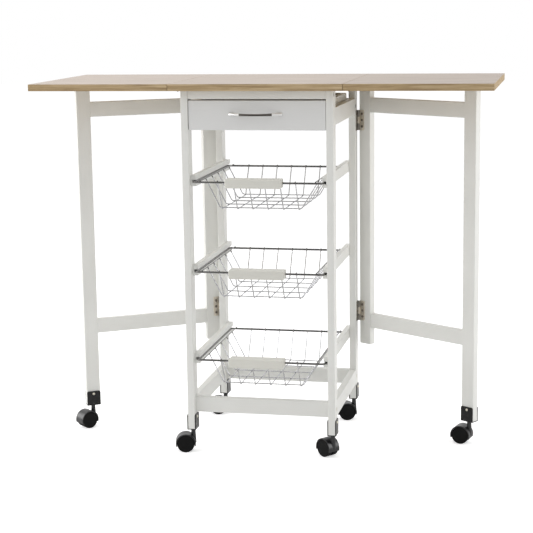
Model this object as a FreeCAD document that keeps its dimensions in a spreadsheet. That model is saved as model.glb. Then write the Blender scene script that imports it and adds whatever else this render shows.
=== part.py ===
import FreeCAD, Part
import math
import os
import Sketcher

# Folding kitchen trolley: a narrow cart with a drawer and three pull-out wire
# baskets, a worktop with two hinged end leaves, and two swinging gate legs that
# carry the leaves. Millimetres. X runs along the worktop, Y from the front to
# the back, Z up. The origin is on the floor under the middle of the worktop.

DOC = FreeCAD.newDocument("folding_trolley")
SHEET = DOC.addObject("Spreadsheet::Sheet", "Sizes")

SIZES = [
    # worktop
    ("worktop_height", 840, "floor to the upper face of the worktop"),
    ("worktop_depth", 408, "front edge to back edge"),
    ("worktop_thickness", 15, "laminated board"),
    ("centre_length", 386, "fixed middle board"),
    ("leaf_length", 320, "each hinged end board"),
    ("seam_gap", 1, "gap between the middle board and a leaf"),
    # frame
    ("frame_width", 340, "outside of the posts, left to right"),
    ("frame_depth", 350, "outside of the posts, front to back"),
    ("front_overhang", 22, "worktop edge in front of the front posts"),
    ("post_thickness", 16, "post, left to right"),
    ("post_depth", 32, "post, front to back"),
    ("foot_height", 56, "floor to the sawn end of a post"),
    ("edge_round", 1.2, "rounding along the painted posts and rails"),
    ("rail_thickness", 16, "bottom rails"),
    ("rail_height", 35, "bottom rails"),
    ("bottom_rail_level", 93, "floor to the underside of the bottom rails"),
    ("apron_height", 38, "side and rear aprons"),
    ("apron_thickness", 16, "side and rear aprons"),
    ("apron_drop", 39, "air between the worktop and the aprons"),
    ("top_rail_height", 19, "rail over the drawer"),
    ("top_rail_thickness", 14, "rail over the drawer"),
    ("front_recess", 2, "top rail and drawer front behind the post faces"),
    # frame bolts
    ("bolt_diameter", 6, "shank"),
    ("bolt_head_diameter", 10, "head, sunk in the post"),
    ("bolt_head_height", 3, "head, sunk in the post"),
    ("bolt_length", 50, "shank"),
    ("bolt_clearance", 0.2, "all round the shank and the head"),
    # drawer
    ("drawer_front_height", 65, "drawer front"),
    ("drawer_front_thickness", 14, "drawer front"),
    ("drawer_side_gap", 1, "drawer front to a post"),
    ("drawer_top_gap", 3, "drawer front to the top rail"),
    ("drawer_box_length", 285, "drawer sides"),
    ("drawer_box_height", 42, "drawer sides"),
    ("drawer_wall", 11, "drawer sides and back"),
    ("drawer_box_gap", 2, "drawer side to an apron"),
    ("drawer_bottom_thickness", 4, "drawer bottom"),
    ("drawer_bottom_lift", 5, "drawer bottom above the lower edge of the sides"),
    ("runner_width", 12, "wooden runner under a drawer side"),
    ("runner_height", 10, "wooden runner under a drawer side"),
    ("runner_play", 0.3, "drawer side above its runner"),
    # drawer handle
    ("bow_length", 117, "bow handle, end to end"),
    ("bow_rise", 24, "bow handle, how far it stands out"),
    ("bow_width", 7, "bow handle at its ends, seen from the front"),
    ("bow_waist", 4.6, "bow handle in its middle, seen from the front"),
    ("bow_thickness", 4.5, "bow handle, front to back"),
    ("bow_spacing", 96, "between the two screws of the bow"),
    ("bow_foot_diameter", 7, "round foot of the bow"),
    ("bow_lift", 2.5, "bow above the middle of the drawer front"),
    ("bow_shift", 2.5, "bow to the left of the middle"),
    # baskets
    ("top_basket_level", 622.5, "rim wire of the top basket above the floor"),
    ("basket_pitch", 202.2, "one basket below the other"),
    ("strip_height", 25, "grooved basket strip"),
    ("strip_thickness", 12, "grooved basket strip"),
    ("strip_rise", 2, "middle of a strip above its rim wire"),
    ("strip_front_setback", 14, "strip end behind the front post face"),
    ("strip_rear_setback", 4, "strip end before the rear post face"),
    ("groove_depth", 9, "groove in a strip"),
    ("groove_rest", 0.3, "rim wire above the bottom of its groove"),
    ("groove_air", 1.2, "rim wire below the top of its groove"),
    ("rim_wire", 4.5, "thick rim wire of a basket"),
    ("mesh_wire", 2.5, "thin wires of a basket"),
    ("rim_engagement", 3.5, "middle of the rim wire inside the groove"),
    ("basket_setback", 4, "front rim wire behind the front post face"),
    ("basket_length", 325, "front rim wire to rear rim wire"),
    ("basket_drop", 62.5, "rim wire to the bottom wires"),
    ("side_wire_inset", 15.75, "thin upper side wire inside the rim wire"),
    ("side_slope", 36.75, "how far a side wall leans in"),
    ("end_slope", 39, "how far the front and rear walls lean in"),
    ("weld_sink", 0.1, "share of its thickness that a welded wire sinks in"),
    ("wire_bend", 5.5, "bend of the thin wires at the basket bottom"),
    ("rim_bend", 6, "bend at the corners of the rim wire"),
    ("cross_pitch", 57, "between the wires that run left to right"),
    ("long_pitch", 35, "between the wires that run front to back"),
    ("mesh_shift", 3.5, "bottom wires to the left of the middle"),
    ("wire_end", 2, "end of a front-to-back wire past its weld on the rim"),
    ("grip_length", 125, "wooden grip of a basket"),
    ("grip_depth", 33, "wooden grip of a basket"),
    ("grip_height", 20, "wooden grip of a basket"),
    ("grip_reach", 25, "grip in front of the rim wire"),
    ("grip_below", 10, "grip below the rim wire"),
    ("grip_chamfer", 1.5, "edges of a grip"),
    ("grip_play", 0.3, "grip round the wires that pass through it"),
    ("grip_shift_top", 6.5, "grip of the top basket to the left of the middle"),
    ("grip_shift_middle", 2, "grip of the middle basket to the left of the middle"),
    ("grip_shift_bottom", 5.5, "grip of the bottom basket to the left of the middle"),
    # gate legs
    ("gate_length", 344, "along the gate, hinge side to outer end"),
    ("gate_post_width", 33, "gate posts, along the gate"),
    ("gate_thickness", 17, "gate posts, across the gate"),
    ("gate_angle", 33, "gate at rest, forward of the worktop's long axis, degrees"),
    ("gate_hinge_setback", 8, "gate hinge pin before the rear post face"),
    ("gate_start", 0.5, "hinge pin to the edge of the inner gate post"),
    ("gate_top_gap", 0.5, "outer gate post under a leaf"),
    ("inner_post_gap", 12, "inner gate post under the worktop"),
    ("inner_post_foot", 190, "floor to the lower end of the inner gate post"),
    ("gate_rail_thickness", 14, "gate rails"),
    ("gate_rail_height", 35, "gate rails"),
    ("upper_gate_rail", 752, "floor to the underside of the upper gate rail"),
    ("lower_gate_rail", 231.5, "floor to the underside of the lower gate rail"),
    # hinges
    ("hinge_height", 48, "butt hinge, along its pin"),
    ("hinge_width", 16, "pin to the free edge of a hinge plate"),
    ("hinge_plate", 1.6, "thickness of a hinge plate"),
    ("hinge_corner", 3, "rounded corners of a hinge plate"),
    ("hinge_barrel", 6.4, "barrel diameter"),
    ("hinge_pin", 3, "pin diameter"),
    ("hinge_offset", 3.5, "pin above the wood that carries the plate"),
    ("hinge_play", 0.3, "moving barrel and plate to the fixed ones"),
    ("pin_play", 0.05, "barrel bore round the pin"),
    ("upper_hinge_level", 733, "middle of the upper gate hinges"),
    ("lower_hinge_level", 271, "middle of the lower gate hinges"),
    ("leaf_hinge_front", -92, "middle of the front leaf hinges, along Y"),
    ("leaf_hinge_rear", 78, "middle of the rear leaf hinges, along Y"),
    ("hinge_screw_pitch", 15, "between the screws of a hinge plate"),
    # screws
    ("screw_diameter", 3.4, "wood screws"),
    ("screw_head", 6.4, "head of a wood screw"),
    ("screw_head_top", 3.6, "flat top of that head"),
    ("screw_head_height", 1.8, "raised head of a wood screw"),
    ("screw_grip", 6, "screw in the wood"),
    ("screw_play", 0.1, "all round a screw"),
    # casters and their brackets
    ("bracket_plate", 2, "steel of a caster bracket"),
    ("bracket_height", 35, "bracket beside the post"),
    ("bracket_corner", 4, "rounded upper corners of a bracket"),
    ("bracket_screw_drop", 7, "screw below the upper edge of a bracket"),
    ("stem_diameter", 8, "caster stem"),
    ("stem_length", 16, "caster stem above the bracket"),
    ("stem_end_air", 2, "post bore above the end of the stem"),
    ("stem_play", 0.05, "bracket hole round the stem"),
    ("stem_bore_play", 0.3, "post bore round the stem"),
    ("collar_diameter", 9.5, "top of a caster's neck, under its bracket"),
    ("neck_diameter", 13, "foot of that neck, at the height of the axle"),
    ("collar_gap", 0.3, "neck to bracket"),
    ("wheel_diameter", 40, "twin wheels"),
    ("wheel_width", 12.5, "each wheel"),
    ("wheel_chamfer", 1, "outer edge of a wheel"),
    ("web_thickness", 4, "middle wall of a caster, between its wheels"),
    ("wheel_side_play", 0.5, "wheel to the middle wall"),
    ("hood_play", 0.8, "hood round the wheels"),
    ("hood_wall", 2.2, "hood"),
    ("hood_droop", 15, "hood ends below the axle, degrees"),
    ("axle_diameter", 5, "axle"),
    ("trail", 18, "axle behind the stem"),
    # the way the wheels trail, degrees round Z from +X
    ("trail_front_left", 195, "front left caster"),
    ("trail_front_right", 141, "front right caster"),
    ("trail_rear_left", 192, "rear left caster"),
    ("trail_rear_right", 197, "rear right caster"),
    ("trail_gate_left", 230, "left gate caster"),
    ("trail_gate_right", 165, "right gate caster"),
]

size = {}
for row, (alias, number, note) in enumerate(SIZES, start=1):
    SHEET.set(f"A{row}", alias)
    SHEET.set(f"B{row}", str(number))
    SHEET.set(f"C{row}", note)
    SHEET.setAlias(f"B{row}", alias)
DOC.recompute()
for alias, number, note in SIZES:
    size[alias] = float(SHEET.get(alias))

LEFT = -1
RIGHT = 1
SIDE_NAME = {LEFT: "left", RIGHT: "right"}
STRAIGHT = FreeCAD.Rotation()
nodes = []


# ---------------------------------------------------------------- expressions
def cell(alias):
    return f"Sizes.{alias}"


UNDERSIDE = f"({cell('worktop_height')} - {cell('worktop_thickness')})"
TABLE_FRONT = f"(-{cell('worktop_depth')} / 2)"
FRAME_FRONT = f"({TABLE_FRONT} + {cell('front_overhang')})"
FRAME_REAR = f"({FRAME_FRONT} + {cell('frame_depth')})"
OUTER = f"({cell('frame_width')} / 2)"
INNER = f"({OUTER} - {cell('post_thickness')})"
FRONT_POST_BACK = f"({FRAME_FRONT} + {cell('post_depth')})"
REAR_POST_FRONT = f"({FRAME_REAR} - {cell('post_depth')})"
BAY_DEPTH = f"({REAR_POST_FRONT} - {FRONT_POST_BACK})"
APRON_LEVEL = f"({UNDERSIDE} - {cell('apron_drop')} - {cell('apron_height')})"
PANEL_FRONT = f"({FRAME_FRONT} + {cell('front_recess')})"
TOP_RAIL_LEVEL = f"({UNDERSIDE} - {cell('top_rail_height')})"
DRAWER_LEVEL = (
    f"({TOP_RAIL_LEVEL} - {cell('drawer_top_gap')} - {cell('drawer_front_height')})"
)
PANEL_BACK = f"({PANEL_FRONT} + {cell('drawer_front_thickness')})"


def span(side, start, length):
    """Where a length begins on the X axis when it runs outward on one side."""
    if side == RIGHT:
        return f"({start})"
    return f"(-({start}) - ({length}))"


def value(expression):
    """The number that an expression of sheet cells gives."""
    plain = expression
    for alias in sorted(size, key=len, reverse=True):
        plain = plain.replace(cell(alias), repr(size[alias]))
    return DOC.getObject("Sizes").evalExpression(plain)


# ------------------------------------------------------------ building blocks
def new_body(label, placement=None):
    body = DOC.addObject("PartDesign::Body", label)
    body.Label = label
    if placement:
        body.Placement = placement
    return body


def origin_plane(body, role):
    return [part for part in body.Origin.OriginFeatures if part.Role == role][0]


def sketch_on(body, role, lift):
    """A sketch on an origin plane of its body, lifted along the plane's normal."""
    sketch = body.newObject("Sketcher::SketchObject", "Outline")
    sketch.AttachmentSupport = [(origin_plane(body, role), "")]
    sketch.MapMode = "FlatFace"
    sketch.setExpression("AttachmentOffset.Base.z", lift)
    return sketch


def dimension(sketch, kind, first, second, expression):
    index = sketch.addConstraint(Sketcher.Constraint(kind, *first, *second, 1.0))
    sketch.setExpression(f"Constraints[{index}]", expression)


def outline(sketch, corners):
    """A closed polygon whose corners follow pairs of expressions."""
    points = [FreeCAD.Vector(value(u), value(v), 0) for u, v in corners]
    count = len(points)
    for index in range(count):
        line = Part.LineSegment(points[index], points[(index + 1) % count])
        sketch.addGeometry(line, False)
    for index in range(count):
        following = (index + 1) % count
        sketch.addConstraint(Sketcher.Constraint("Coincident", index, 2, following, 1))
    for index, (u, v) in enumerate(corners):
        dimension(sketch, "DistanceX", (-1, 1), (index, 1), u)
        dimension(sketch, "DistanceY", (-1, 1), (index, 1), v)


def pad(body, sketch, length, reverse=False):
    feature = body.newObject("PartDesign::Pad", "Pad")
    feature.Profile = sketch
    feature.setExpression("Length", length)
    feature.Reversed = reverse
    DOC.recompute()
    return feature


def extrusion(label, along, corners, start, length, placement=None):
    """A body with a polygon section, padded along one axis from start."""
    body = new_body(label, placement)
    role = {"x": "YZ_Plane", "y": "XZ_Plane", "z": "XY_Plane"}[along]
    toward_minus = along == "y"
    lift = f"-({start})" if toward_minus else start
    sketch = sketch_on(body, role, lift)
    outline(sketch, corners)
    pad(body, sketch, length, reverse=toward_minus)
    return body


def board(label, along, u, v, w, placement=None):
    """A sawn board: u and v are (start, width) in the section, w along it."""
    (left, width), (low, height), (start, length) = u, v, w
    right = f"({left}) + ({width})"
    top = f"({low}) + ({height})"
    corners = [(left, low), (right, low), (right, top), (left, top)]
    return extrusion(label, along, corners, start, length, placement)


def soften(body, along):
    """Round the four long edges of a board."""
    axis = {"x": 0, "y": 1, "z": 2}[along]
    base = body.Tip
    edges = []
    for index, edge in enumerate(base.Shape.Edges, start=1):
        ends = edge.Vertexes[-1].Point - edge.Vertexes[0].Point
        if abs(abs(ends[axis]) - ends.Length) < 1e-6 and edge.Length > 30:
            edges.append(f"Edge{index}")
    feature = body.newObject("PartDesign::Fillet", "Softened")
    feature.Base = (base, edges)
    feature.setExpression("Radius", cell("edge_round"))
    DOC.recompute()
    return body


AXES = {
    "+x": FreeCAD.Rotation(FreeCAD.Vector(0, 1, 0), 90),
    "-x": FreeCAD.Rotation(FreeCAD.Vector(0, 1, 0), -90),
    "+y": FreeCAD.Rotation(FreeCAD.Vector(1, 0, 0), -90),
    "-y": FreeCAD.Rotation(FreeCAD.Vector(1, 0, 0), 90),
    "+z": FreeCAD.Rotation(),
    "-z": FreeCAD.Rotation(FreeCAD.Vector(1, 0, 0), 180),
}


def round_feature(body, kind, axis, at, diameter, length):
    feature = body.newObject(f"PartDesign::{kind}Cylinder", "Round")
    feature.Placement = FreeCAD.Placement(FreeCAD.Vector(), AXES[axis])
    for letter, expression in zip("xyz", at):
        feature.setExpression(f"Placement.Base.{letter}", expression)
    feature.setExpression("Radius", f"({diameter}) / 2")
    feature.setExpression("Height", length)
    DOC.recompute()
    return feature


def drill(body, axis, at, diameter, depth):
    """A round hole from a point inward; it has to take wood away."""
    before = body.Shape.Volume
    round_feature(body, "Subtractive", axis, at, diameter, depth)
    if body.Shape.Volume >= before:
        raise RuntimeError(f"{body.Label}: a hole cut nothing")


def box_feature(body, kind, at, lengths):
    feature = body.newObject(f"PartDesign::{kind}Box", "Block")
    for letter, expression in zip("xyz", at):
        feature.setExpression(f"Placement.Base.{letter}", expression)
    for name, expression in zip(("Length", "Width", "Height"), lengths):
        feature.setExpression(name, expression)
    DOC.recompute()
    return feature


def node(thing):
    """Keep a finished body or compound as one named sub-part."""
    nodes.append(thing)
    return thing


def group(label, members):
    """Several solids of one kind under one name."""
    compound = DOC.addObject("Part::Compound", label)
    compound.Label = label
    compound.Links = members
    DOC.recompute()
    return node(compound)


def plain_feature(label, shape, placement=None):
    """A sub-part whose shape is made directly."""
    feature = DOC.addObject("Part::Feature", label)
    feature.Label = label
    feature.Shape = shape
    if placement:
        feature.Placement = placement
    return node(feature)


# ---------------------------------------------------------------- frame posts
BOLT_LOW = f"({cell('bottom_rail_level')} + {cell('rail_height')} / 2)"
BOLT_TOP_FRONT = f"({UNDERSIDE} - {cell('top_rail_height')} / 2)"
BOLT_TOP_REAR = f"({APRON_LEVEL} + {cell('apron_height')} / 2)"
RAIL_ROW = f"({cell('rail_thickness')} / 2)"
BRACKET_SCREW = (
    f"({cell('foot_height')} + {cell('bracket_height')}"
    f" - {cell('bracket_plate')} - {cell('bracket_screw_drop')})"
)
BOLT_HOLE = f"({cell('bolt_diameter')} + 2 * {cell('bolt_clearance')})"
HEAD_HOLE = f"({cell('bolt_head_diameter')} + 2 * {cell('bolt_clearance')})"
HEAD_SINK = f"({cell('bolt_head_height')} + {cell('bolt_clearance')})"
SCREW_HOLE = f"({cell('screw_diameter')} + 2 * {cell('screw_play')})"
SCREW_DEPTH = f"({cell('screw_grip')} + {cell('screw_play')})"
STEM_BORE = f"({cell('stem_diameter')} + 2 * {cell('stem_bore_play')})"
STEM_DEPTH = f"({cell('stem_length')} + {cell('stem_end_air')})"
GATE_PIN_Y = f"({FRAME_REAR} - {cell('gate_hinge_setback')})"
PLATE_SCREW_REACH = f"({cell('hinge_width')} * 0.62)"

POST_ROWS = {
    "front": (FRAME_FRONT, BOLT_TOP_FRONT),
    "rear": (REAR_POST_FRONT, BOLT_TOP_REAR),
}


def bolt_row(row, level):
    """Y of a bolt through a post into the rail that meets it there."""
    if row == "rear":
        return f"({REAR_POST_FRONT} + {RAIL_ROW})"
    if level == BOLT_LOW:
        return f"({FRONT_POST_BACK} - {RAIL_ROW})"
    return f"({PANEL_FRONT} + {cell('top_rail_thickness')} / 2)"


def make_post(row, side):
    front, top_bolt = POST_ROWS[row]
    u = (span(side, INNER, cell("post_thickness")), cell("post_thickness"))
    v = (front, cell("post_depth"))
    w = (cell("foot_height"), f"{UNDERSIDE} - {cell('foot_height')}")
    post = board(f"post_{row}_{SIDE_NAME[side]}", "z", u, v, w)
    soften(post, "z")
    middle_x = f"({side} * ({OUTER} - {cell('post_thickness')} / 2))"
    middle_y = f"({front} + {cell('post_depth')} / 2)"
    foot = (middle_x, middle_y, cell("foot_height"))
    drill(post, "+z", foot, STEM_BORE, STEM_DEPTH)
    inward = "-x" if side == RIGHT else "+x"
    outward = "+x" if side == RIGHT else "-x"
    for level in (BOLT_LOW, top_bolt):
        at = (f"({side} * {OUTER})", bolt_row(row, level), level)
        drill(post, inward, at, BOLT_HOLE, cell("post_thickness"))
        drill(post, inward, at, HEAD_HOLE, HEAD_SINK)
    for face, axis in ((OUTER, inward), (INNER, outward)):
        at = (f"({side} * {face})", middle_y, BRACKET_SCREW)
        drill(post, axis, at, SCREW_HOLE, SCREW_DEPTH)
    if row == "rear":
        for at in hinge_screw_points(side):
            drill(post, inward, at, SCREW_HOLE, SCREW_DEPTH)
    return node(post)


def hinge_screw_points(side):
    """The screws of the fixed gate hinge plates, on the side of a rear post."""
    points = []
    for level in ("upper_hinge_level", "lower_hinge_level"):
        for step in (-1, 0, 1):
            height = f"({cell(level)} + {step} * {cell('hinge_screw_pitch')})"
            across = f"({GATE_PIN_Y} - {PLATE_SCREW_REACH})"
            points.append((f"({side} * {OUTER})", across, height))
    return points


for row_name in ("front", "rear"):
    for hand in (LEFT, RIGHT):
        make_post(row_name, hand)


# ------------------------------------------------------- rails, aprons, boards
BAY_X = (f"(-{INNER})", f"(2 * {INNER})")


def bolt_sockets(body, y, z):
    """Holes for the frame bolts in both ends of a rail."""
    reach = f"({cell('bolt_length')} - {cell('post_thickness')} + {cell('bolt_head_height')} + 2)"
    drill(body, "+x", (f"(-{INNER})", y, z), BOLT_HOLE, reach)
    drill(body, "-x", (f"({INNER})", y, z), BOLT_HOLE, reach)


def make_cross_rail(label, y, thickness, z, height, bolt_level):
    """A rail between the left and the right posts."""
    rail = board(label, "x", (y, thickness), (z, height), BAY_X)
    soften(rail, "x")
    bolt_sockets(rail, f"({y} + {thickness} / 2)", bolt_level)
    return node(rail)


make_cross_rail(
    "top_rail_front",
    PANEL_FRONT,
    cell("top_rail_thickness"),
    TOP_RAIL_LEVEL,
    cell("top_rail_height"),
    BOLT_TOP_FRONT,
)
make_cross_rail(
    "apron_rear",
    REAR_POST_FRONT,
    cell("apron_thickness"),
    APRON_LEVEL,
    cell("apron_height"),
    BOLT_TOP_REAR,
)
make_cross_rail(
    "bottom_rail_front",
    f"({FRONT_POST_BACK} - {cell('rail_thickness')})",
    cell("rail_thickness"),
    cell("bottom_rail_level"),
    cell("rail_height"),
    BOLT_LOW,
)
make_cross_rail(
    "bottom_rail_rear",
    REAR_POST_FRONT,
    cell("rail_thickness"),
    cell("bottom_rail_level"),
    cell("rail_height"),
    BOLT_LOW,
)


def make_side_rail(kind, side, thickness, z, height):
    """A rail or apron between a front post and a rear post."""
    start = f"({OUTER} - {thickness})"
    u = (span(side, start, thickness), thickness)
    label = f"{kind}_{SIDE_NAME[side]}"
    rail = board(label, "y", u, (z, height), (FRONT_POST_BACK, BAY_DEPTH))
    soften(rail, "y")
    return node(rail)


for hand in (LEFT, RIGHT):
    make_side_rail("apron", hand, cell("apron_thickness"), APRON_LEVEL, cell("apron_height"))
    make_side_rail(
        "bottom_rail",
        hand,
        cell("rail_thickness"),
        cell("bottom_rail_level"),
        cell("rail_height"),
    )

TABLE_Y = (TABLE_FRONT, cell("worktop_depth"))
BOARD_Z = (UNDERSIDE, cell("worktop_thickness"))
CENTRE_HALF = f"({cell('centre_length')} / 2)"
LEAF_START = f"({CENTRE_HALF} + {cell('seam_gap')})"

SEAM = f"({CENTRE_HALF} + {cell('seam_gap')} / 2)"
LEAF_HINGES = ("leaf_hinge_front", "leaf_hinge_rear")


def drill_under(top_board, x):
    """Screw holes for the leaf hinges in the underside of a board."""
    for alias in LEAF_HINGES:
        for step in (-1, 0, 1):
            y = f"({cell(alias)} + {step} * {cell('hinge_screw_pitch')})"
            drill(top_board, "+z", (x, y, UNDERSIDE), SCREW_HOLE, SCREW_DEPTH)


centre_x = (f"-{CENTRE_HALF}", cell("centre_length"))
centre_board = board("worktop_centre", "z", centre_x, TABLE_Y, BOARD_Z)
for hand in (LEFT, RIGHT):
    drill_under(centre_board, f"({hand} * ({SEAM} - {PLATE_SCREW_REACH}))")
    leaf_x = (span(hand, LEAF_START, cell("leaf_length")), cell("leaf_length"))
    leaf = board(f"leaf_{SIDE_NAME[hand]}", "z", leaf_x, TABLE_Y, BOARD_Z)
    drill_under(leaf, f"({hand} * ({SEAM} + {PLATE_SCREW_REACH}))")
    node(leaf)
node(centre_board)


# ------------------------------------------------------------------- fasteners
def vector(*numbers):
    return FreeCAD.Vector(*numbers)


def flat_ring(point, first, second):
    """Eight corners round a point. The flats lie the two given half widths away."""
    corners = []
    for step in range(8):
        angle = math.radians(22.5 + 45 * step)
        stretch = 1 / math.cos(math.radians(22.5))
        way = first * (math.cos(angle) * stretch) + second * (math.sin(angle) * stretch)
        corners.append(point + way)
    return corners


def turned_along(shape, axis, point):
    """A copy of a shape made along +Z, turned to an axis and moved to a point."""
    copy = shape.copy()
    copy.Placement = FreeCAD.Placement(point, AXES[axis])
    return copy


def frame_bolt():
    """A countersunk-flush bolt whose head starts at the origin and runs to +Z."""
    head = Part.makeCylinder(size["bolt_head_diameter"] / 2, size["bolt_head_height"])
    shank = Part.makeCylinder(size["bolt_diameter"] / 2, size["bolt_length"])
    socket = Part.makeCylinder(size["bolt_diameter"] / 4, size["bolt_head_height"] / 2)
    return head.fuse(shank).cut(socket).removeSplitter()


def wood_screw(cover):
    """A raised-head screw that clamps a plate; its shank runs to +Z from the origin."""
    rise = size["screw_head_height"]
    at = vector(0, 0, -rise)
    head = Part.makeCone(size["screw_head_top"] / 2, size["screw_head"] / 2, rise, at)
    shank = Part.makeCylinder(size["screw_diameter"] / 2, cover + size["screw_grip"])
    return head.fuse(shank).removeSplitter()


bolts = []
for hand in (LEFT, RIGHT):
    into = "-x" if hand == RIGHT else "+x"
    for row_name in ("front", "rear"):
        for bolt_level in (BOLT_LOW, POST_ROWS[row_name][1]):
            spot = vector(
                hand * value(OUTER),
                value(bolt_row(row_name, bolt_level)),
                value(bolt_level),
            )
            spot.x -= hand * size["bolt_clearance"]
            bolts.append(turned_along(frame_bolt(), into, spot))
plain_feature("frame_bolts", Part.makeCompound(bolts))


# ---------------------------------------------------------------------- hinges
BARREL_THIRD = f"({cell('hinge_height')} / 3)"


def round_corners(body, side):
    """Round the two corners of a hinge plate that lie away from its pin."""
    base = body.Tip
    corners = []
    for index, edge in enumerate(base.Shape.Edges, start=1):
        low, high = edge.Vertexes[0].Point, edge.Vertexes[-1].Point
        across = abs(edge.Length - size["hinge_plate"]) < 1e-6 and abs(low.y - high.y) > 1e-6
        if across and side * low.x > size["hinge_width"] - 1e-6:
            corners.append(f"Edge{index}")
    feature = body.newObject("PartDesign::Fillet", "Corners")
    feature.Base = (base, corners)
    feature.setExpression("Radius", cell("hinge_corner"))
    DOC.recompute()


def hinge_plate(label, placement, side, turning):
    """One half of a butt hinge. The pin is the local Z axis, the plate runs
    outward along X on the given side, and the wood lies at +Y."""
    body = new_body(label, placement)
    half = f"({cell('hinge_height')} / 2)"
    edge = f"({cell('hinge_barrel')} / 2 + {cell('hinge_play')})"
    reach = f"({cell('hinge_width')} - {edge})"
    plate_y = f"({cell('hinge_offset')} - {cell('hinge_plate')})"
    at = (span(side, edge, reach), plate_y, f"-{half}")
    box_feature(body, "Additive", at, (reach, cell("hinge_plate"), cell("hinge_height")))
    round_corners(body, side)
    if turning:
        thirds = [f"(-{BARREL_THIRD} / 2 + {cell('hinge_play')} / 2)"]
        length = f"({BARREL_THIRD} - {cell('hinge_play')})"
    else:
        thirds = [f"-{half}", f"({BARREL_THIRD} / 2 + {cell('hinge_play')} / 2)"]
        length = f"({BARREL_THIRD} - {cell('hinge_play')} / 2)"
    for low in thirds:
        tab = (span(side, "0", edge), plate_y, low)
        box_feature(body, "Additive", tab, (edge, cell("hinge_plate"), length))
        round_feature(body, "Additive", "+z", ("0", "0", low), cell("hinge_barrel"), length)
    if turning:
        bore = f"({cell('hinge_pin')} + 2 * {cell('pin_play')})"
        drill(body, "+z", ("0", "0", f"-{half}"), bore, cell("hinge_height"))
    else:
        at = ("0", "0", f"-{half}")
        round_feature(body, "Additive", "+z", at, cell("hinge_pin"), cell("hinge_height"))
    for step in (-1, 0, 1):
        hole = (
            f"({side} * {PLATE_SCREW_REACH})",
            plate_y,
            f"({step} * {cell('hinge_screw_pitch')})",
        )
        drill(body, "+y", hole, SCREW_HOLE, cell("hinge_plate"))
    return body


def hinge_screw_set(placement, side):
    """The three screws of a hinge plate, in the plate's own frame."""
    screws = []
    for step in (-1, 0, 1):
        spot = vector(
            side * value(PLATE_SCREW_REACH),
            size["hinge_offset"] - size["hinge_plate"],
            step * size["hinge_screw_pitch"],
        )
        screw = turned_along(wood_screw(size["hinge_plate"]), "+y", spot)
        screw.Placement = placement.multiply(screw.Placement)
        screws.append(screw)
    return screws


def axes_rotation(x_axis, y_axis):
    """The rotation that takes local X and Y to two given directions."""
    return FreeCAD.Rotation(x_axis, y_axis, x_axis.cross(y_axis), "XYZ")


FORWARD = vector(0, -1, 0)
UP = vector(0, 0, 1)
GATE_LEVELS = {"upper": "upper_hinge_level", "lower": "lower_hinge_level"}
GATE_PIN_X = f"({OUTER} + {cell('hinge_offset')})"

frame_screws = []
fixed_plates = []
for hand in (LEFT, RIGHT):
    for name, alias in GATE_LEVELS.items():
        toward_wood = vector(-hand, 0, 0)
        pin = vector(hand * value(GATE_PIN_X), value(GATE_PIN_Y), size[alias])
        place = FreeCAD.Placement(pin, axes_rotation(FORWARD, toward_wood))
        plate_label = f"fixed_gate_hinge_{name}_{SIDE_NAME[hand]}"
        fixed_plates.append(hinge_plate(plate_label, place, RIGHT, turning=False))
        frame_screws += hinge_screw_set(place, RIGHT)
group("gate_hinges_fixed", fixed_plates)

LEAF_PIN_Z = f"({UNDERSIDE} - {cell('hinge_offset')})"


def loose_solids(label, shapes):
    """Several plain solids as one member of a group."""
    feature = DOC.addObject("Part::Feature", label)
    feature.Shape = Part.makeCompound(shapes)
    return feature


fixed_plates = []
for hand in (LEFT, RIGHT):
    turning_plates = []
    leaf_screws = []
    for alias in LEAF_HINGES:
        pin = vector(hand * value(SEAM), size[alias], value(LEAF_PIN_Z))
        inward = FreeCAD.Placement(pin, axes_rotation(vector(-hand, 0, 0), UP))
        outward = FreeCAD.Placement(pin, axes_rotation(vector(hand, 0, 0), UP))
        tail = f"{SIDE_NAME[hand]}_{alias.split('_')[-1]}"
        fixed = hinge_plate(f"worktop_plate_{tail}", inward, RIGHT, turning=False)
        turning = hinge_plate(f"leaf_plate_{tail}", outward, RIGHT, turning=True)
        fixed_plates.append(fixed)
        turning_plates.append(turning)
        frame_screws += hinge_screw_set(inward, RIGHT)
        leaf_screws += hinge_screw_set(outward, RIGHT)
    screws_member = loose_solids(f"leaf_screws_{SIDE_NAME[hand]}", leaf_screws)
    group(f"leaf_hinges_{SIDE_NAME[hand]}", turning_plates + [screws_member])
group("worktop_hinges_fixed", fixed_plates)


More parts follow.
